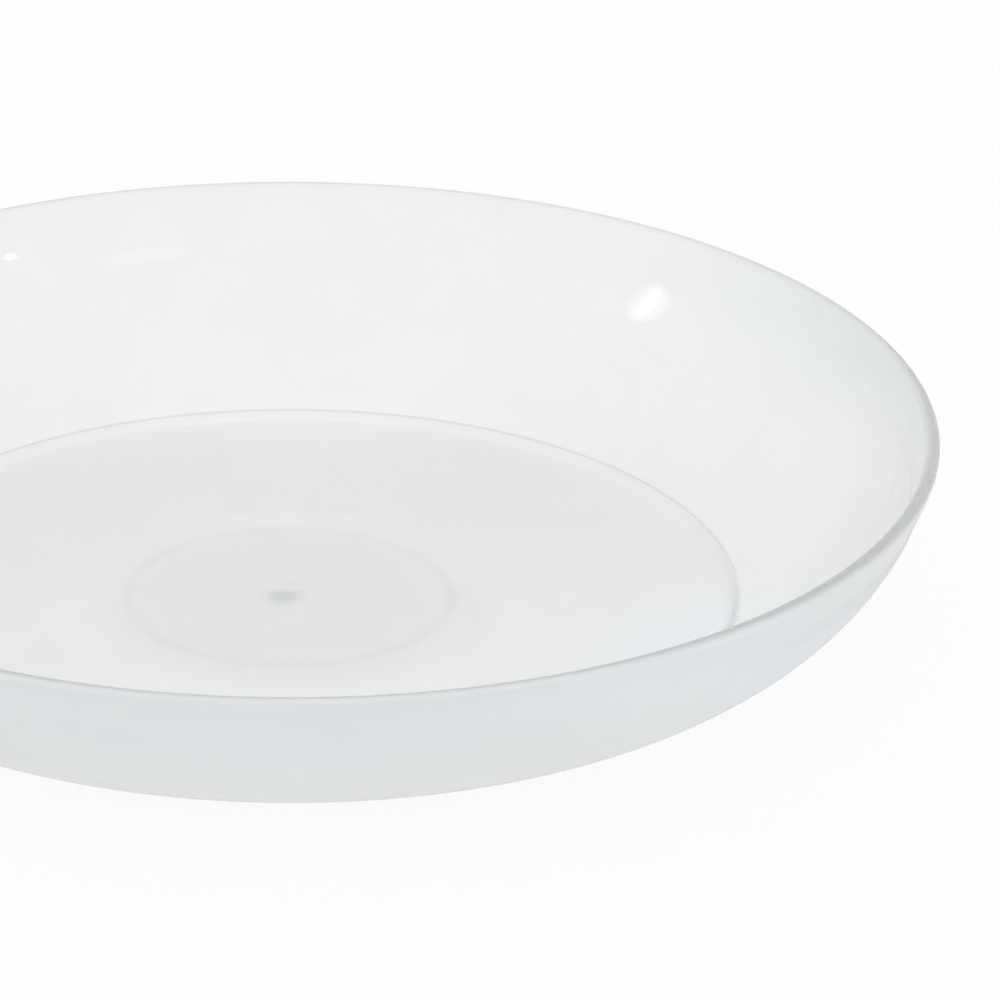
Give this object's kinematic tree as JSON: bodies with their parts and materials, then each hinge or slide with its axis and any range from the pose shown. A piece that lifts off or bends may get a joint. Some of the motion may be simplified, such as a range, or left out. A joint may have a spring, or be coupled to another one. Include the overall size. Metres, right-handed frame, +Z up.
{
  "type": "plant saucer",
  "caption": "Shallow round translucent dish with a curved flaring wall and rounded rim, which catches water under a plant pot.",
  "frame": {"origin": "centre of the circle that the foot ring rests on", "axes": "+Z up along the axis that the dish is turned about; +X and +Y are any two square directions across it"},
  "size_m": [0.2, 0.2, 0.0306],
  "materials": {
    "clear_plastic": "translucent injection-moulded plastic, satin outside and glossy inside, with a faint blue-grey tint"
  },
  "bodies": {
    "root": {"saucer": "clear_plastic"}
  },
  "joints": []
}
